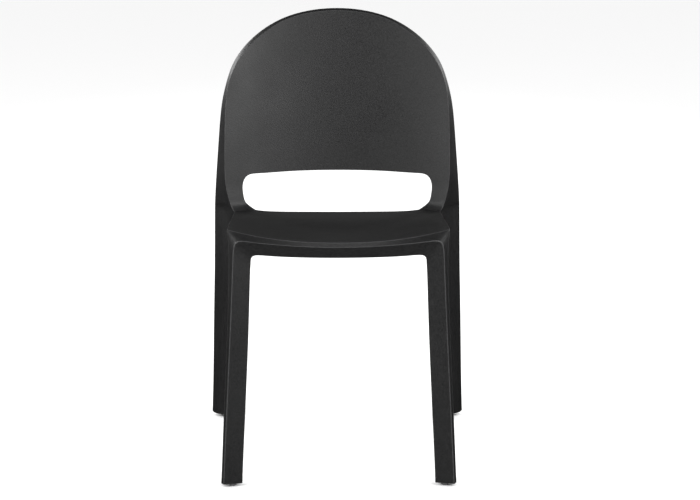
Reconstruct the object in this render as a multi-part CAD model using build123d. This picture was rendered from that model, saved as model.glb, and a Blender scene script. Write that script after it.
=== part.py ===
"""Monobloc stacking chair: one gas-assisted moulding on four pressed-in foot glides.

Millimetres. +Z is up, +X is the sitter's left, the chair faces -Y. The origin is on the floor, at
the centre of the footprint. The body is symmetric about the plane X = 0.
"""
from build123d import *
import os
from math import atan2, degrees

# ---- driving dimensions -------------------------------------------------------------------
overall_width = 500.0        # across the rear feet
overall_depth = 516.0        # front feet to the top of the back
overall_height = 815.0
leg_end = 6.0                # the moulded leg ends stand this far above the floor
seat_half_width = 200.0      # the two side edges of the seat run parallel
seat_front_corner = 187.0    # the front edge meets the cut-off corners here
seat_rear_y = 168.0
sheet = 6.0                  # wall of the seat and of the back
rim = 8.0                    # thickness of the back around its edge
rim_width = 10.0
back_radius = 700.0          # the back is hollowed about an upright axis in front of it
waist_height = 430.0         # where the back meets the seat
waist_y = 185.0              # front face of the back there, on the centre line
leg_wall = 5.0               # wall left around the gas channel inside each leg

# back opening at the loin
slot_half_width = 184.0
slot_top = 504.0
slot_bottom = 420.0
slot_top_drop = 5.0          # its top edge is this much lower at the ends
slot_upper_radius = 26.0
slot_lower_radius = 38.0

# foot glides
glide_top_diameter = 17.4
glide_bottom_diameter = 11.0
glide_stem_diameter = 8.0
glide_stem_length = 14.0
glide_stem_clearance = 0.05
front_glide_at = (193.0, -242.0)
rear_glide_at = (226.0, 221.0)

corner_loss = 3.3            # how far rounding pulls in the outermost corner of a rear foot
front_y = -overall_depth / 2 - 0.5
back_y = overall_depth / 2 - rim - 0.1
outer_x = overall_width / 2 + corner_loss

# ---- helpers ------------------------------------------------------------------------------


def rounded(plane, corners, radius):
    """A face with the given corners, each rounded to the same radius."""
    outline = plane * make_face(Polyline(*corners, close=True))
    return fillet(outline.vertices(), radius)


def mirrored(shape):
    """The same shape on the other side of the chair."""
    return mirror(shape, about=Plane.YZ)


def at_height(z):
    return Plane.XY.offset(z)


def at_depth(y):
    """A section plane across the chair: local x is X, local y is Z."""
    return Plane(origin=(0, y, 0), x_dir=(1, 0, 0), z_dir=(0, -1, 0))


def at_side(x):
    """A section plane along the chair: local x is Y, local y is Z."""
    return Plane(origin=(x, 0, 0), x_dir=(0, 1, 0), z_dir=(1, 0, 0))


# ---- back ---------------------------------------------------------------------------------


def leaning_sheet(front, rear):
    """Part of an upright tube, leaning backwards, between two depths behind the face of the back."""
    lean = degrees(atan2(back_y - waist_y, overall_height - waist_height))
    middle = Plane(origin=(0, waist_y, waist_height), x_dir=(1, 0, 0), z_dir=(0, 0, 1))
    across = middle.rotated((-lean, 0, 0))
    half = 240.0
    hollow = back_radius - (back_radius**2 - half**2) ** 0.5
    outline = [
        ThreePointArc((-half, front - hollow), (0, front), (half, front - hollow)),
        Line((half, front - hollow), (half, rear - hollow)),
        ThreePointArc((half, rear - hollow), (0, rear), (-half, rear - hollow)),
        Line((-half, rear - hollow), (-half, front - hollow)),
    ]
    return extrude(across * make_face(outline), amount=450, both=True)


def arched(side_points, top):
    """A smooth curve up one side, over the top and down the other side, in the plane of the front."""
    other = [(-x, z) for x, z in reversed(side_points)]
    return Spline(*side_points, top, *other)


def back_outline(inset):
    """The arch of the back, seen from the front, narrowing to the waist."""
    waist = [(200, 424), (201, 434), (209, 448), (216.5, 478), (219, 510), (219.5, 566)]
    crown = [(219, 630), (214, 678), (198, 716), (169.7, 753.5), (117, 791.5), (0, overall_height)]
    narrower = 1 - inset / 219
    lower = 1 - inset / (overall_height - waist_height)
    points = [(x * narrower, waist_height + (z - waist_height) * lower) for x, z in waist + crown]
    sides = arched(points[:-1], points[-1])
    base = Line(points[0], (-points[0][0], points[0][1]))
    return at_depth(300) * make_face(sides + base)


def slot_outline():
    """The loin opening, seen from the front."""
    low = slot_top - slot_top_drop
    top = ThreePointArc((-slot_half_width, low), (0, slot_top), (slot_half_width, low))
    rest = Polyline(
        (slot_half_width, low),
        (slot_half_width, slot_bottom),
        (-slot_half_width, slot_bottom),
        (-slot_half_width, low),
    )
    outline = make_face(top + rest)
    upper = outline.vertices().filter_by(lambda v: v.Y > slot_bottom + 1)
    outline = fillet(upper, slot_upper_radius)
    lower = outline.vertices().group_by(Axis.Y)[0]
    return at_depth(300) * fillet(lower, slot_lower_radius)


def back():
    """The panel with its opening, and a shallow pocket behind that leaves a thicker rim."""
    opening = extrude(slot_outline(), amount=250)
    panel = leaning_sheet(0, rim) & (extrude(back_outline(0), amount=250) - opening)
    pocket = leaning_sheet(sheet, 2 * rim) & extrude(back_outline(rim_width), amount=250)
    return panel - pocket


# ---- rear legs and the flange that they run up into ---------------------------------------

# Each station: height, front edge, bulge of the outer face, rear outer edge, rear inner edge,
# front inner edge.
rear_leg_stations = [
    (leg_end, (206, 203), (237.5, 213), (outer_x, 236), (207, 237), (204, 210)),
    (120, (206, 181), (230, 190), (246.3, 216), (202, 217), (201, 188)),
    (240, (205, 160), (226, 170), (243.5, 200), (197, 201), (195, 167)),
    (340, (203, 152), (223, 163), (241.2, 191), (191, 192), (190, 159)),
    (432, (200, 157), (221, 170), (240, 190), (188, 191), (187, 164)),
]
flange_stations = [
    (432, (200, 157), (221, 170), (240, 190), (188, 191), (187, 164)),
    (485, (216, 163.5), (228, 177), (237, 196), (200, 197), (203, 172)),
    (543, (217.5, 172.5), (226.5, 186), (232.7, 205), (205, 206), (206, 182)),
    (600, (217, 182), (223.5, 195), (228.4, 212), (207, 213), (208, 191)),
    (650, (214, 191.5), (217.5, 203), (220.8, 219), (205, 220), (207, 200)),
    (700, (202, 205), (204.5, 211), (206.5, 221), (192, 222), (193, 210)),
    (740, (176, 215.5), (179, 218), (180, 222), (168, 223), (168, 217)),
]


def post(stations, radius):
    sections = []
    for z, *corners in stations:
        sections.append(rounded(at_height(z), corners, radius))
    return loft(sections)


def inset(stations, wall):
    """The same stations with every corner moved in towards the middle, for a gas channel."""
    result = []
    for z, *corners in stations:
        cx = sum(c[0] for c in corners) / len(corners)
        cy = sum(c[1] for c in corners) / len(corners)
        inner = []
        for x, y in corners:
            reach = ((x - cx) ** 2 + (y - cy) ** 2) ** 0.5
            keep = max(1 - 1.5 * wall / reach, 0.25)
            inner.append((cx + (x - cx) * keep, cy + (y - cy) * keep))
        result.append((z, *inner))
    return result


# ---- front frame: two legs under an apron -------------------------------------------------

# Each station: height, ridge, outer front edge, outer rear edge, inner rear edge, inner front edge.
front_leg_stations = [
    (leg_end, (208.5, front_y), (212.5, -249), (211, -226), (176, -226), (174.5, -249)),
    (120, (203, -253), (207.5, -243), (207, -215), (169, -215), (168, -244)),
    (240, (197.5, -247.5), (203, -237), (203, -205), (163.5, -205), (163, -238)),
    (360, (191.5, -242), (199, -231), (199.5, -197), (158.5, -197), (158.5, -233)),
    (446, (187.5, -237.5), (197, -223), (199, -190), (155.5, -190), (155.5, -229)),
]
# Above the ridge the leg leans back under the corner of the seat.
front_leg_cap_stations = [
    (446, (187.5, -237.5), (197, -223), (199, -190), (155.5, -190), (155.5, -229)),
    (472, (185.3, -221), (199.5, -203), (199.5, -190), (158, -190), (158, -221)),
]

# Each station: X, top edge, ridge, lower front edge, lower rear edge, upper rear edge (Y, Z).
apron_stations = [
    (0, (-243, 449.5), (-250, 442), (-241, 421), (-212, 421), (-212, 445)),
    (105, (-239.5, 454.5), (-247, 446), (-237, 422.5), (-209, 422.5), (-209, 450)),
    (158, (-232, 459.5), (-242, 450.5), (-231, 425), (-203, 425), (-203, 455)),
    (188, (-224, 463), (-236, 452.5), (-227, 426), (-199, 426), (-199, 458)),
]


def apron():
    sections = []
    for x, *corners in apron_stations:
        sections.append(rounded(at_side(x), corners, 1.5))
    half = loft(sections)
    return half + mirrored(half)


# ---- seat and side rails ------------------------------------------------------------------

# Each station: Y, height of the side edges, height of the middle.
seat_stations = [
    (-255, 468.5, 450.5),
    (-205, 466.5, 446),
    (-100, 457, 437),
    (20, 444, 429),
    (100, 436, 426),
    (seat_rear_y + 5, 430.5, 427),
]

rail_plan = [(166, -205), (186, 118), (197, 146), (197, 185), (201, 185), (199.5, -205)]


def dish(top, bottom):
    """The seat's curved layer, between two heights measured from its upper surface."""
    sections = []
    for y, side, middle in seat_stations:
        half = seat_half_width
        outline = [
            ThreePointArc((-half, side + top), (0, middle + top), (half, side + top)),
            Line((half, side + top), (half, side + bottom)),
            ThreePointArc((half, side + bottom), (0, middle + bottom), (-half, side + bottom)),
            Line((-half, side + bottom), (-half, side + top)),
        ]
        sections.append(at_depth(y) * make_face(outline))
    return loft(sections)


def seat():
    front = ThreePointArc((-seat_front_corner, -225), (0, -243.5), (seat_front_corner, -225))
    rest = Polyline(
        (seat_front_corner, -225),
        (seat_half_width, -206),
        (seat_half_width, seat_rear_y),
        (-seat_half_width, seat_rear_y),
        (-seat_half_width, -206),
        (-seat_front_corner, -225),
    )
    plan = at_height(400) * make_face(front + rest)
    return dish(0, -sheet) & extrude(plan, amount=100)


def side_rail():
    """A wall under the seat's side: straight below, then one arc down the front of the rear leg."""
    start, turn, end = (-205, 423.5), (15, 401), (158, 272)
    straight = Line(start, turn)
    curve = TangentArc(turn, end, tangent=(turn[0] - start[0], turn[1] - start[1]))
    rest = Polyline(end, (180, 272), (167, 428), (-205, 470), start)
    profile = at_side(150) * make_face([straight, curve, rest])
    plan = at_height(250) * make_face(Polyline(*rail_plan, close=True))
    return extrude(profile, amount=70) & extrude(plan, amount=250)


def over_seat():
    """Everything above the middle of the seat's wall, forward of the back."""
    front_of_back = Pos(0, -150, 480) * Box(2 * seat_half_width, 600, 200)
    return dish(60, -sheet / 2) & front_of_back


# ---- the moulding -------------------------------------------------------------------------


def gas_channel(stations, bottom, top):
    """Core of a leg, cut to the stretch between two heights."""
    core = post(inset(stations, leg_wall), 1.5)
    band = Pos(0, 0, (bottom + top) / 2) * Box(2 * overall_width, 2 * overall_depth, top - bottom)
    return core & band


def stem_hole(at):
    x, y = at
    height = leg_end + 20
    return Pos(x, y, height / 2) * Cylinder(glide_stem_diameter / 2, height)


def side_of_body():
    """Both legs, the flange and the rail of one side, hollowed and with holes for the glides."""
    rear_leg = post(rear_leg_stations, 4.0)
    front_leg = post(front_leg_stations, 3.0)
    frame = front_leg + post(front_leg_cap_stations, 3.0) + side_rail() - over_seat()
    solid = rear_leg + post(flange_stations, 1.0) + frame
    solid -= gas_channel(rear_leg_stations, 16, 400)
    solid -= gas_channel(front_leg_stations, 16, 415)
    solid -= stem_hole(front_glide_at)
    solid -= stem_hole(rear_glide_at)
    return solid


def chair_body():
    side = side_of_body()
    return side + mirrored(side) + seat() + apron() + back()


def foot_glide(at):
    """A conical button with a stem that fills the hole in the end of the leg."""
    x, y = at
    button = Pos(x, y, leg_end / 2) * Cone(glide_bottom_diameter / 2, glide_top_diameter / 2, leg_end)
    stem_radius = glide_stem_diameter / 2 - glide_stem_clearance
    stem_height = leg_end + glide_stem_length
    stem = Pos(x, y, stem_height / 2 + 1) * Cylinder(stem_radius, stem_height - 2)
    return button + stem


def main():
    os.makedirs("parts", exist_ok=True)
    front_x, front_at_y = front_glide_at
    rear_x, rear_at_y = rear_glide_at
    parts = {
        "chair_body": chair_body(),
        "foot_glide_front_left": foot_glide((front_x, front_at_y)),
        "foot_glide_front_right": foot_glide((-front_x, front_at_y)),
        "foot_glide_rear_left": foot_glide((rear_x, rear_at_y)),
        "foot_glide_rear_right": foot_glide((-rear_x, rear_at_y)),
    }
    for name, shape in parts.items():
        export_step(shape, f"parts/{name}.step")
        box = shape.bounding_box()
        print(name, len(shape.solids()), round(shape.volume), box.min, box.max)


main()
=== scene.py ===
"""The look of the monobloc stacking chair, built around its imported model. Metres, +Z up, faces -Y."""
import math

import bmesh
import bpy
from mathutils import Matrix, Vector

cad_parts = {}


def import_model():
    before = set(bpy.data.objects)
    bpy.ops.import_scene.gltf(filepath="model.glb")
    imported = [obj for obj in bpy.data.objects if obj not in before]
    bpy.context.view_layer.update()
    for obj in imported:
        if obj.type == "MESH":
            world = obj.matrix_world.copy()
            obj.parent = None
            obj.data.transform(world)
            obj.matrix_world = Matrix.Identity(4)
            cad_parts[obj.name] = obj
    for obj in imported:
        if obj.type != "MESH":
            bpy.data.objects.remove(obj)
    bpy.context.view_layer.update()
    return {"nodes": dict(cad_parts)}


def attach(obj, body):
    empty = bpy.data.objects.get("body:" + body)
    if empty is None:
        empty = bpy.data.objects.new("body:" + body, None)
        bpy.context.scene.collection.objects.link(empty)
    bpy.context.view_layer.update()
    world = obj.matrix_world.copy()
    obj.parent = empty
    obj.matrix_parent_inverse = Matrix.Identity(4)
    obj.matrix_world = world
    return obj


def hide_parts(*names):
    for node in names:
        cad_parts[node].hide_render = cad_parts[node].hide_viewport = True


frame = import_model()

MM = 0.001
scene = bpy.context.scene


# ---- materials ----------------------------------------------------------------------------

CLOUD_SCALE, GRAIN_SCALE, SCUFF_SCALE = 9.0, 480.0, 700.0      # noise cycles per metre
GRAIN_HEIGHT = 0.0006                                          # metres
POLYPROPYLENE_IOR = 1.49


def new_material(name):
    material = bpy.data.materials.new(name)
    material.use_nodes = True
    return material, material.node_tree.nodes, material.node_tree.links


def noise(nodes, links, coordinates, scale, detail=2.0, roughness=0.5):
    node = nodes.new("ShaderNodeTexNoise")
    node.inputs["Scale"].default_value = scale
    node.inputs["Detail"].default_value = detail
    node.inputs["Roughness"].default_value = roughness
    links.new(coordinates, node.inputs["Vector"])
    return node.outputs["Fac"]


def spread(nodes, links, value, low, high):
    """Map a noise, which stays mostly between 0.3 and 0.7, to a range."""
    node = nodes.new("ShaderNodeMapRange")
    node.inputs["From Min"].default_value = 0.3
    node.inputs["From Max"].default_value = 0.7
    node.inputs["To Min"].default_value = low
    node.inputs["To Max"].default_value = high
    links.new(value, node.inputs["Value"])
    return node.outputs["Result"]


def between(nodes, links, factor, first, second):
    """A grey that a factor moves from one tone to another."""
    node = nodes.new("ShaderNodeMix")
    node.data_type = "RGBA"
    links.new(factor, node.inputs["Factor"])
    for name, tone in (("A", first), ("B", second)):
        node.inputs[name].default_value = (tone, tone, tone * 1.02, 1.0)
    return node.outputs["Result"]


def body_plastic(name, tones, gloss):
    """Black polypropylene from a sparked mould: cloudy gloss and a fine grain."""
    material, nodes, links = new_material(name)
    shader = nodes["Principled BSDF"]
    place = nodes.new("ShaderNodeTexCoord").outputs["Object"]
    clouds = noise(nodes, links, place, CLOUD_SCALE, 3.0)
    grain = noise(nodes, links, place, GRAIN_SCALE, 3.0, 0.65)
    speckle = nodes.new("ShaderNodeMath")
    links.new(spread(nodes, links, clouds, *gloss), speckle.inputs[0])
    links.new(spread(nodes, links, grain, -0.04, 0.04), speckle.inputs[1])
    links.new(speckle.outputs["Value"], shader.inputs["Roughness"])
    shade = between(nodes, links, spread(nodes, links, grain, 0.0, 1.0), *tones)
    links.new(shade, shader.inputs["Base Color"])
    bump = nodes.new("ShaderNodeBump")
    bump.inputs["Strength"].default_value = 0.5
    bump.inputs["Distance"].default_value = GRAIN_HEIGHT
    links.new(grain, bump.inputs["Height"])
    links.new(bump.outputs["Normal"], shader.inputs["Normal"])
    shader.inputs["IOR"].default_value = POLYPROPYLENE_IOR
    return material


def glide_plastic():
    """Grey polyethylene, dull, a little scuffed where it slides."""
    material, nodes, links = new_material("grey_glide_plastic")
    shader = nodes["Principled BSDF"]
    place = nodes.new("ShaderNodeTexCoord").outputs["Object"]
    scuffs = noise(nodes, links, place, SCUFF_SCALE, 4.0)
    shade = between(nodes, links, spread(nodes, links, scuffs, 0.0, 1.0), 0.07, 0.16)
    links.new(shade, shader.inputs["Base Color"])
    links.new(spread(nodes, links, scuffs, 0.45, 0.65), shader.inputs["Roughness"])
    return material


def paper(name, tone):
    """The studio floor: pale matt paper."""
    material, nodes, links = new_material(name)
    shader = nodes["Principled BSDF"]
    shader.inputs["Base Color"].default_value = (tone, tone, tone, 1.0)
    shader.inputs["Roughness"].default_value = 0.9
    return material


BODY = body_plastic("black_polypropylene", (0.0030, 0.0165), (0.42, 0.50))
# Paler, glossier copy for the rounded edges: its paler tone is a painted highlight along every edge.
PAINTED_EDGE_HIGHLIGHT = body_plastic("black_polypropylene_painted_edge_highlight", (0.020, 0.052), (0.34, 0.42))
GLIDE = glide_plastic()
GLIDES = [f"foot_glide_{end}_{side}" for end in ("front", "rear") for side in ("left", "right")]


def set_material(obj, material):
    for slot in obj.material_slots:
        slot.material = material


for name, node in frame["nodes"].items():
    set_material(node, GLIDE if name in GLIDES else BODY)


# ---- the moulded body ---------------------------------------------------------------------
# One closed control mesh, nearly all four-sided faces, subdivided and then rounded along its edges.
# All places are in millimetres on the sitter's left half, X > 0; the other half is its mirror.

SHEET = 6.0              # wall of the seat and of the back
BACK_RADIUS = 700.0      # the back is hollowed about an upright axis
WAIST_Z = 430.0
WAIST_Y = 185.0          # face of the back on the centre line, at the waist
BACK_TOP_Z = 815.0
BACK_TOP_Y = 251.0
SEAT_HALF = 200.0
CURL_HEIGHT = 46.0       # the back curls forward over this height above the waist
CURL_DEPTH = 3.0

# bevel widths of the kinds of edge
CREASE, TIGHT, EDGE, SOFT = 0.0, 1.3, 1.8, 3.0


def back_face_y(x, z):
    """Depth of the front face of the back: a leaning hollow that curls forward at the waist."""
    lean = (BACK_TOP_Y - WAIST_Y) / (BACK_TOP_Z - WAIST_Z)
    curl = max(0.0, 1 - (z - WAIST_Z) / CURL_HEIGHT)
    return WAIST_Y + lean * (z - WAIST_Z) - x * x / (2 * BACK_RADIUS) - CURL_DEPTH * curl**2


class ControlMesh:
    """Named points on one half, with faces between them, and bevel widths on the edges."""

    def __init__(self):
        self.points = {}
        self.faces = []
        self.bevels = {}

    def put(self, key, x, y, z):
        self.points[key] = Vector((x, y, z))

    def face(self, *keys):
        self.faces.append(keys)

    def strip(self, first, second):
        """Faces between two rows of points of the same length."""
        for a, b, c, d in zip(first, first[1:], second[1:], second):
            self.face(a, b, c, d)

    def line(self, keys, width):
        """Round the edges along a row of points."""
        for a, b in zip(keys, keys[1:]):
            self.bevels[frozenset((a, b))] = width

    def build(self, name):
        """The whole mesh, both halves welded on the centre plane, in metres."""
        mesh = bmesh.new()
        made = {}
        for side in (1, -1):
            for key, place in self.points.items():
                if side == -1 and abs(place.x) < 1e-6:
                    made[key, side] = made[key, 1]
                    continue
                made[key, side] = mesh.verts.new((place.x * side * MM, place.y * MM, place.z * MM))
        for side in (1, -1):
            for keys in self.faces:
                mesh.faces.new([made[key, side] for key in keys[::side]])
        weight = mesh.edges.layers.float.new("bevel_weight_edge")
        crease = mesh.edges.layers.float.new("crease_edge")
        for side in (1, -1):
            for pair, width in self.bevels.items():
                a, b = pair
                edge = mesh.edges.get((made[a, side], made[b, side]))
                if edge is None:
                    raise ValueError(f"no edge between {a} and {b}")
                edge[weight] = width / SOFT
                edge[crease] = 1.0
                edge.smooth = width != CREASE
        bmesh.ops.recalc_face_normals(mesh, faces=mesh.faces)
        data = bpy.data.meshes.new(name)
        mesh.to_mesh(data)
        mesh.free()
        obj = bpy.data.objects.new(name, data)
        scene.collection.objects.link(obj)
        return obj


cage = ControlMesh()

# Columns across the seat and the back: 0 is the centre line, 6 the side edge.
SEAT_X = [0.0, 50.0, 100.0, 140.0, 165.0, 184.0, SEAT_HALF]
LAST = 6

# Rows along the seat: depth on the centre line and at the side, height there.
CENTRE_Y = [-243.5, -235.0, -212.0, -160.0, -95.0, -25.0, 45.0, 105.0, 148.0, 168.0]
SIDE_Y = [-206.0, -197.0, -186.0, -140.0, -80.0, -15.0, 50.0, 100.0, 130.0, 148.5]
CENTRE_Z = [450.0, 449.0, 446.0, 441.5, 436.5, 431.5, 428.0, 426.5, 426.5, 427.0]
SIDE_Z = [466.8, 466.3, 465.4, 461.0, 455.0, 447.5, 440.5, 435.0, 432.3, 431.0]
REAR = 9
# The seat's rear edge curls up beside the opening: extra height at a column and a row.
REAR_CURL = {(3, 9): 1.3, (4, 9): 4.6, (5, 9): 2.0, (3, 8): 0.3, (4, 8): 0.8}


def seat_z(x, j):
    """Height of the seat's top at a distance from its middle, on a row."""
    return CENTRE_Z[j] + (SIDE_Z[j] - CENTRE_Z[j]) * (x / SEAT_HALF) ** 2


def seat_y(k, j):
    across = (SEAT_X[k] / SEAT_HALF) ** 3
    return CENTRE_Y[j] + (SIDE_Y[j] - CENTRE_Y[j]) * across


# The front frame's curves, from the centre line along the apron, round the corner and down the
# leg: the edge of the seat, the ridge, the inner front edge and the inner rear edge.
RIDGE = [
    (0, -247, 442), (50, -246.7, 442.9), (100, -245.3, 445.7), (137, -242.5, 448.8),
    (160, -240.3, 451.2), (176, -238.5, 452), (185.3, -237.5, 446.5), (188.2, -237.8, 433),
    (189.2, -238.8, 416),
]
INNER_FRONT = [
    (0, -239, 421), (49, -238.7, 421.4), (97, -237.2, 422.6), (126, -235, 424),
    (142, -233.6, 424.8), (152, -232.6, 423.6), (156.4, -232, 418.3), (157.2, -231.8, 410),
    (157.8, -231.8, 401),
]
INNER_REAR = [
    (0, -207, 421.5), (48, -206.7, 421.9), (95, -205.6, 423), (124, -203.8, 424.3),
    (141, -202, 425), (152.5, -200.5, 424), (157.8, -199.5, 419), (159, -199, 412),
    (160, -198.6, 405),
]
EDGE_TURN = [(198.9, -213.5, 454), (196.6, -222, 437)]          # the edge below the seat's corner
SIDE_TURN = [(200.5, -204, 447), (199.5, -209.5, 427)]
REAR_TURN = [(200.5, -189, 441), (200.5, -191.5, 414)]

# Down the front leg: height and (X, Y) of edge, side, outer rear, inner rear, inner front, ridge.
FRONT_LEG = [
    (372, (196.8, -231), (198.8, -216), (199.8, -196), (161.5, -200), (159, -233), (191.0, -241)),
    (290, (200.0, -235.5), (201.3, -220), (201.5, -203), (164, -205), (161.8, -236.5), (194.8, -245)),
    (200, (204.2, -240.5), (205.2, -225), (204.8, -210), (168, -211), (165.8, -241), (199.4, -249.5)),
    (110, (208.7, -245), (209.4, -230.5), (208.6, -217.5), (172.2, -218), (170.2, -245.3), (204.0, -254)),
    (40, (212.0, -248.5), (212.3, -234), (211.6, -223.5), (175.3, -223.8), (173.6, -248.8), (207.6, -257.3)),
    (6, (213.6, -250), (213.8, -236), (213, -226), (176.7, -226.3), (175, -250.3), (209.3, -258.8)),
]

# The rail: (X, Z) of its outer bottom edge and of its inner bottom edge at rows 3 to 8.
RAIL_OUTER = [(202, 412), (203, 408.5), (204, 404), (204.5, 397), (205, 384), (205.5, 364)]
RAIL_INNER = [(167, 411), (172, 408), (175, 403.5), (177, 396.5), (180, 384), (184, 364)]
UNDER_X = [0.0, 48.0, 95.0, 130.0, 150.0, 163.0, 175.0]

# Down the rear leg: height and (X, Y) of front edge, middle of the outer face, outer rear edge,
# inner rear edge, inner front edge. The first two rows are behind the end of the rail.
REAR_LEG = [
    (392, (203, 150), (223, 167), (240.4, 190), (190, 191), (187, 157)),
    (335, (206, 149), (226, 165.5), (241.2, 191), (193, 192), (188.5, 157)),
    (280, (206, 154), (227.5, 170), (242.6, 194.5), (195.5, 195.5), (191, 161)),
    (200, (205.5, 164), (230, 179), (245, 204.5), (199.5, 205.5), (196, 170)),
    (110, (206, 180), (233.5, 193), (247.5, 218.5), (203.5, 219.5), (201, 186)),
    (40, (206.5, 196.5), (237.5, 208), (250, 231.5), (207, 232.5), (204.2, 201.5)),
    (6, (207, 204), (239.5, 214.8), (251.5, 237.8), (208.5, 238.8), (205.2, 209)),
]

# Up the side of the back: (X, Z) of the front edge, (X, Z) of the silhouette, depth from one to
# the other, width of the flange behind. The first is the waist; the last is the top's middle.
FLANGE = [
    ((200.0, 431.0), (240.0, 431.0), 39, 50),
    ((206.5, 442.0), (239.6, 443.0), 36, 43),
    ((211.5, 457.0), (238.8, 458.0), 33, 38),
    ((215.5, 474.0), (237.8, 475.0), 31, 34),
    ((217.5, 491.0), (236.6, 492.0), 29.5, 31),
    ((218.3, 507.0), (235.5, 508.0), 28.5, 29),
    ((218.5, 540.0), (233.0, 542.0), 26.5, 25),
    ((218.2, 575.0), (230.4, 577.0), 24, 21),
    ((217.5, 608.0), (227.6, 610.0), 21.5, 18),
    ((215.5, 641.0), (223.2, 643.0), 19, 15),
    ((210.3, 675.0), (215.0, 677.0), 16.5, 12.5),
    ((199.6, 704.5), (204.4, 707.5), 14.5, 11),
    ((186.4, 726.5), (191.0, 730.5), 13, 10),
    ((169.0, 747.0), (173.7, 751.0), 11.5, 9.5),
    ((148.2, 765.6), (152.2, 769.8), 10.5, 9),
    ((122.3, 782.8), (125.2, 787.2), 9.5, 9),
    ((90.0, 798.0), (91.0, 801.9), 8.5, 9),
    ((47.0, 807.8), (47.4, 811.9), 8, 9),
    ((0.0, 811.0), (0.0, 815.2), 7.8, 9),
]
SLOT_ROWS = 5            # rows of the flange beside the opening
CORNER_ROW = 12          # where the grid of the back turns from its side to its top

# The opening's edge: (X, Z) up the wing and round its upper corner to the centre line.
WING_EDGE = [(163, 435), (175, 442.5), (182, 456), (184.2, 474), (181, 490), (170, 499.5)]
SLOT_TOP = [(0, 504.3), (50, 504), (100, 502.8), (145, 501)]


def seat_and_apron():
    """The seat's two faces, the apron below its front edge and the soffit behind the apron."""
    for j in range(REAR + 1):
        for k in range(LAST + 1):
            curl = REAR_CURL.get((k, j), 0.0)
            cage.put(("top", k, j), SEAT_X[k], seat_y(k, j), seat_z(SEAT_X[k], j) + curl)
    for k, x in enumerate(UNDER_X):
        for j in range(2, REAR + 1):
            z = seat_z(x, j) - SHEET + REAR_CURL.get((k, j), 0.0)
            y = CENTRE_Y[j] + (SIDE_Y[j] - CENTRE_Y[j]) * (x / SEAT_HALF) ** 3
            cage.put(("under", k, j), x, y, z)
    for k in range(LAST + 1):
        x, y, z = INNER_REAR[k]
        if k == LAST:
            x, y = x + 14, y + 8
        cage.put(("under", k, 2), x, y, seat_z(x, 2) - SHEET)
    for name, curve in (("ridge", RIDGE), ("inner", INNER_FRONT), ("soffit", INNER_REAR)):
        for s, place in enumerate(curve):
            cage.put((name, s), *place)
    for j in range(REAR):
        cage.strip([("top", k, j) for k in range(LAST + 1)], [("top", k, j + 1) for k in range(LAST + 1)])
    for j in range(2, REAR):
        cage.strip([("under", k, j) for k in range(LAST + 1)], [("under", k, j + 1) for k in range(LAST + 1)])
    apron = range(LAST + 1)
    cage.strip([("top", k, 0) for k in apron], [("ridge", k) for k in apron])
    cage.strip([("ridge", k) for k in apron], [("inner", k) for k in apron])
    cage.strip([("inner", k) for k in apron], [("soffit", k) for k in apron])
    cage.strip([("soffit", k) for k in apron], [("under", k, 2) for k in apron])
    cage.strip([("top", k, REAR) for k in range(5)], [("under", k, REAR) for k in range(5)])


FRONT_COLUMNS = ("edge", "side", "outer", "soffit", "inner", "ridge")


def front_leg():
    """Six columns of points: the corner under the seat, then the leg down to its end."""
    for name, turn in (("edge", EDGE_TURN), ("side", SIDE_TURN), ("outer", REAR_TURN)):
        for s, place in enumerate(turn, LAST + 1):
            cage.put((name, s), *place)
    for s, (z, *places) in enumerate(FRONT_LEG, LAST + 3):
        for name, (x, y) in zip(FRONT_COLUMNS, places):
            cage.put((name, s), x, y, z)
    end = LAST + 2 + len(FRONT_LEG)
    top = {"edge": ("top", LAST, 0), "side": ("top", LAST, 1), "outer": ("top", LAST, 2)}

    def column(name, start):
        first = [top[name]] if start == LAST and name in top else [(name, start)]
        return first + [(name, s) for s in range(start + 1, end + 1)]

    cage.strip(column("edge", LAST), column("side", LAST))
    cage.strip(column("side", LAST), column("outer", LAST))
    cage.strip(column("ridge", LAST), column("edge", LAST))
    cage.strip(column("inner", LAST), column("ridge", LAST))
    cage.strip(column("soffit", LAST), column("inner", LAST))
    cage.strip(column("outer", LAST + 2), column("soffit", LAST + 2))
    cage.face(*[(name, end) for name in ("side", "edge", "ridge", "inner")])
    cage.face(*[(name, end) for name in ("side", "inner", "soffit", "outer")])
    ring = [(name, end) for name in FRONT_COLUMNS]
    cage.line(ring + ring[:1], TIGHT)
    for name, start, width in (("edge", LAST, EDGE), ("ridge", 0, SOFT), ("inner", 0, EDGE),
                               ("soffit", 0, EDGE), ("outer", LAST + 2, SOFT)):
        cage.line(column(name, LAST) if start == LAST else [(name, s) for s in range(start, end + 1)], width)


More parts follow.
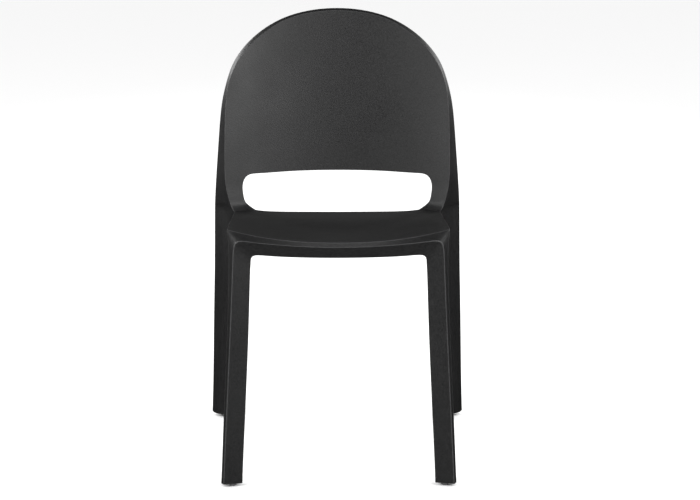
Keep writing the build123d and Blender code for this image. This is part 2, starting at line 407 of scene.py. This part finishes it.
def side_rail():
    """From the corner over the front leg back to the rear leg: three rows outside, four inside."""
    for j in range(3, REAR):
        x, z = RAIL_OUTER[j - 3]
        top = cage.points["top", LAST, j]
        cage.put(("rail_low", j), x, SIDE_Y[j], z)
        cage.put(("rail_mid", j), (x + top.x) / 2 + 0.3, SIDE_Y[j], (z + top.z) / 2)
        x, z = RAIL_INNER[j - 3]
        under = cage.points["under", LAST, j]
        low = Vector((x, SIDE_Y[j], z))
        cage.put(("in", 0, j), *low)
        cage.put(("in", 1, j), *low.lerp(under, 0.33))
        cage.put(("in", 2, j), *low.lerp(under, 0.67))
    rows = range(3, REAR)
    top = [("top", LAST, 2)] + [("top", LAST, j) for j in rows] + [("top", LAST, REAR)]
    mid = [("outer", LAST + 1)] + [("rail_mid", j) for j in rows] + [("post", 0, 0)]
    low = [("outer", LAST + 2)] + [("rail_low", j) for j in rows] + [("post", 0, 1)]
    inner = [
        [("soffit", LAST + 2)] + [("in", 0, j) for j in rows] + [("post", 4, 1)],
        [("soffit", LAST + 1)] + [("in", 1, j) for j in rows] + [("post", 4, 0)],
        [("soffit", LAST)] + [("in", 2, j) for j in rows] + [("under", LAST, REAR)],
        [("under", LAST, j) for j in range(2, REAR)] + [("under", LAST, REAR)],
    ]
    cage.strip(top, mid)
    cage.strip(mid, low)
    cage.strip(low, inner[0])
    cage.strip(inner[0], inner[1])
    cage.strip(inner[1], inner[2])
    cage.strip(inner[2][:-1], inner[3][:-1])
    cage.face(inner[2][-2], inner[2][-1], inner[3][-2])
    cage.line(low, SOFT)
    cage.line(inner[0], SOFT)


def seat_edges():
    """The seat's edges. They come after the front leg's, whose ridge is tighter along the apron."""
    cage.line([("top", k, 0) for k in range(LAST + 1)], SOFT)
    cage.line([("ridge", k) for k in range(5)], TIGHT)
    cage.line([("top", LAST, j) for j in range(REAR + 1)], TIGHT)
    cage.line([("top", k, REAR) for k in range(5)], TIGHT)
    cage.line([("under", k, REAR) for k in range(5)], TIGHT)


def rear_leg():
    """Five columns of points from the waist down to the end of the leg."""
    for row, (z, *places) in enumerate(REAR_LEG):
        for c, (x, y) in enumerate(places):
            cage.put(("post", c, row), x, y, z)
    end = len(REAR_LEG) - 1
    rows = range(end + 1)
    leg_rows = rows[1:]
    waist = [("top", LAST, REAR), ("rim", 1, 0), ("rim", 2, 0), ("rim", 3, 0), ("under", LAST, REAR)]
    columns = [[waist[c]] + [("post", c, row) for row in rows] for c in range(5)]
    for c in range(4):
        cage.strip(columns[c], columns[c + 1])
    cage.strip([("post", 4, row) for row in leg_rows], [("post", 0, row) for row in leg_rows])
    cage.face(*[("post", c, end) for c in (0, 1, 2, 3)])
    cage.face(*[("post", c, end) for c in (0, 3, 4)])
    ring = [("post", c, end) for c in range(5)]
    cage.line(ring + ring[:1], TIGHT)
    cage.line([("post", 0, row) for row in leg_rows], SOFT)
    cage.line(columns[2], EDGE)
    cage.line(columns[3], SOFT)
    cage.line([("post", 4, row) for row in leg_rows], SOFT)


def back_and_flange():
    """The back's two faces, and round their edge the flange that the rear legs run up into."""
    for s, ((ex, ez), (ox, oz), depth, width) in enumerate(FLANGE):
        outward = Vector((ox - ex, 0, oz - ez)).normalized()
        front_y = back_face_y(ex, ez)
        if s:
            cage.put(("rim", 0, s), ex, front_y, ez)
        edge = Vector((ex, front_y, ez))
        outer = Vector((ox, front_y + depth, oz))
        bulge = outward * (0.03 * (outer - edge).length)
        cage.put(("rim", 1, s), *((edge + outer) / 2 + bulge))
        cage.put(("rim", 2, s), *outer)
        inner = outer - outward * width
        cage.put(("rim", 3, s), inner.x, outer.y + 1, inner.z)
        if s:
            foot = inner - outward * 1.0
            cage.put(("rim", 4, s), foot.x, min(back_face_y(foot.x, foot.z) + SHEET, outer.y), foot.z)
    top = len(FLANGE) - 1

    def key(face, k, row):
        """The point of one face of the back at a column and a row of its grid."""
        rim = 0 if face == "face" else 4
        if row == 0 and k == LAST:
            return ("top", LAST, REAR) if rim == 0 else ("under", LAST, REAR)
        if row == 0:
            return ("top" if rim == 0 else "under", k, REAR)
        if k == LAST:
            return ("rim", rim, row)
        if row == CORNER_ROW:
            return ("rim", rim, CORNER_ROW + LAST - k)
        return (face, k, row)

    def fill(face):
        """Places of the inner points, spread between the opening's edge, the side and the top."""
        offset = 0.0 if face == "face" else SHEET
        opening = {k: place for k, place in enumerate(SLOT_TOP)}
        opening[4] = WING_EDGE[SLOT_ROWS]
        for row in range(1, SLOT_ROWS + 1):
            ax, az = WING_EDGE[row]
            rim = cage.points[key(face, LAST, row)]
            cage.put((face, 4, row), ax, back_face_y(ax, az) + offset, az)
            x, z = (ax + rim.x) / 2, (az + rim.z) / 2
            cage.put((face, 5, row), x, back_face_y(x, z) + offset, z)
        opening[5] = (cage.points[face, 5, SLOT_ROWS].x, cage.points[face, 5, SLOT_ROWS].z)
        for k, (x, z) in opening.items():
            cage.put((face, k, SLOT_ROWS), x, back_face_y(x, z) + offset, z)
        low_side = cage.points[key(face, LAST, SLOT_ROWS)]
        high_side = cage.points[key(face, LAST, CORNER_ROW)]
        for k in range(LAST):
            low_x, low_z = opening[k]
            high = cage.points[key(face, k, CORNER_ROW)]
            for row in range(SLOT_ROWS + 1, CORNER_ROW):
                v = (row - SLOT_ROWS) / (CORNER_ROW - SLOT_ROWS)
                u = (low_x / low_side.x) * (1 - v) + (high.x / high_side.x) * v
                side = cage.points[key(face, LAST, row)]
                rise = (side.z - low_side.z) / (high_side.z - low_side.z)
                z = low_z + (high.z - low_z) * (v * (1 - u) + rise * u)
                straight = low_side.x + (high_side.x - low_side.x) * v
                x = low_x * (1 - v) + high.x * v + (side.x - straight) * u
                cage.put((face, k, row), x, back_face_y(x, z) + offset, z)

    fill("face")
    fill("rear")
    for face in ("face", "rear"):
        for row in range(CORNER_ROW):
            first = 4 if row < SLOT_ROWS else 0
            cage.strip([key(face, k, row) for k in range(first, LAST + 1)],
                       [key(face, k, row + 1) for k in range(first, LAST + 1)])
    for ring in range(4):
        rows = range(top + 1)
        names = {(0, 0): ("top", LAST, REAR), (4, 0): ("under", LAST, REAR)}
        cage.strip([names.get((ring, s), ("rim", ring, s)) for s in rows],
                   [names.get((ring + 1, s), ("rim", ring + 1, s)) for s in rows])
    wing = range(SLOT_ROWS + 1)
    cage.strip([key("face", 4, row) for row in wing], [key("rear", 4, row) for row in wing])
    cage.strip([("face", k, SLOT_ROWS) for k in range(5)], [("rear", k, SLOT_ROWS) for k in range(5)])
    for face in ("face", "rear"):
        cage.line([key(face, 4, row) for row in wing], TIGHT)
        cage.line([(face, k, SLOT_ROWS) for k in range(5)], TIGHT)
    cage.line([("top", LAST, REAR)] + [("rim", 0, s) for s in range(1, top + 1)], TIGHT)
    cage.line([("top", k, REAR) for k in range(4, LAST + 1)], CREASE)
    cage.line([("rim", 2, s) for s in range(top + 1)], EDGE)
    cage.line([("rim", 3, s) for s in range(top + 1)], EDGE)


def fit_limit(obj, rounds=10):
    """Move the control points until the smooth surface passes through their first places."""
    wanted = [v.co.copy() for v in obj.data.vertices]
    smooth = obj.modifiers.new("fit", "SUBSURF")
    smooth.levels = 1
    smooth.render_levels = 1
    for _ in range(rounds):
        bpy.context.view_layer.update()
        settled = obj.evaluated_get(bpy.context.evaluated_depsgraph_get()).data
        gaps = [place - settled.vertices[i].co for i, place in enumerate(wanted)]
        for vertex, gap in zip(obj.data.vertices, gaps):
            vertex.co += gap
        obj.data.update()
    obj.modifiers.remove(smooth)


def moulded_body():
    """The whole body in one mesh; its rounded edges take a paler material, a painted highlight."""
    seat_and_apron()
    front_leg()
    rear_leg()
    back_and_flange()
    side_rail()
    seat_edges()
    obj = cage.build("moulded_body")
    fit_limit(obj)
    smooth = obj.modifiers.new("smooth_surface", "SUBSURF")
    smooth.levels = 2
    smooth.render_levels = 2
    bevel = obj.modifiers.new("edge_rounding", "BEVEL")
    bevel.limit_method = "WEIGHT"
    bevel.width = SOFT * MM
    bevel.segments = 3
    bevel.use_clamp_overlap = True
    bevel.harden_normals = True
    # the bevelled edges take the second, paler material: a painted highlight along every rounded edge
    bevel.material = 1
    for polygon in obj.data.polygons:
        polygon.use_smooth = True
    obj.data.materials.append(BODY)
    obj.data.materials.append(PAINTED_EDGE_HIGHLIGHT)
    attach(obj, "root")
    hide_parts("chair_body")


moulded_body()


# ---- floor, light and camera --------------------------------------------------------------


def floor():
    """Pale paper that doesn't mirror in the plastic."""
    half = 12.0
    mesh = bpy.data.meshes.new("studio_floor")
    corners = [(-half, -half, 0), (half, -half, 0), (half, half, 0), (-half, half, 0)]
    mesh.from_pydata(corners, [], [(0, 1, 2, 3)])
    obj = bpy.data.objects.new("studio_floor", mesh)
    scene.collection.objects.link(obj)
    mesh.materials.append(paper("studio_paper", 0.93))
    obj.visible_glossy = False


def soft_box(name, place, target, size, radiance):
    """A lamp of a given brightness, aimed at a target and unseen by the camera."""
    light = bpy.data.lights.new(name, "AREA")
    light.shape = "RECTANGLE"
    light.size, light.size_y = size
    light.energy = radiance * math.pi * size[0] * size[1]
    obj = bpy.data.objects.new(name, light)
    obj.location = place
    obj.rotation_euler = (Vector(target) - Vector(place)).to_track_quat("-Z", "Y").to_euler()
    obj.visible_camera = False
    scene.collection.objects.link(obj)


def world(strength):
    """A white room that lights everything evenly; only the soft boxes mirror in the plastic."""
    scene.world = bpy.data.worlds.new("studio_world")
    scene.world.use_nodes = True
    background = scene.world.node_tree.nodes["Background"]
    background.inputs["Color"].default_value = (1.0, 1.0, 1.0, 1.0)
    background.inputs["Strength"].default_value = strength
    scene.world.cycles_visibility.glossy = False


def camera():
    """Nearly straight at the chair's front, a little from above, with a long lens."""
    pitch, yaw = 11.827, -0.635
    data = bpy.data.cameras.new("camera")
    data.sensor_width = 36.0
    data.lens = 123.4
    data.clip_end = 100.0
    obj = bpy.data.objects.new("camera", data)
    obj.location = Vector((-26.2, -4428.0, 1313.0)) * MM
    obj.rotation_euler = (math.radians(90 - pitch), 0.0, math.radians(yaw))
    scene.collection.objects.link(obj)
    scene.camera = obj


CHEST = (0.0, 0.0, 0.6)      # what the lamps are aimed at
floor()
world(1.06)
soft_box("front_right", (1.6, -2.5, 1.75), CHEST, (1.2, 1.1), 13.0)
soft_box("front_left", (-2.3, -2.1, 1.7), CHEST, (0.8, 1.1), 21.0)
soft_box("top_right", (1.9, -0.9, 2.3), CHEST, (0.9, 0.9), 1.4)
soft_box("top_left", (-1.9, -0.9, 2.3), CHEST, (0.9, 0.9), 1.4)
soft_box("rear_right", (-2.4, 2.2, 1.8), CHEST, (1.4, 1.4), 7.0)
soft_box("rear_left", (2.4, 2.2, 1.8), CHEST, (1.4, 1.4), 7.0)
soft_box("behind", (0.0, 3.0, 1.5), CHEST, (3.0, 1.4), 0.12)
camera()
scene.view_settings.view_transform = "Standard"
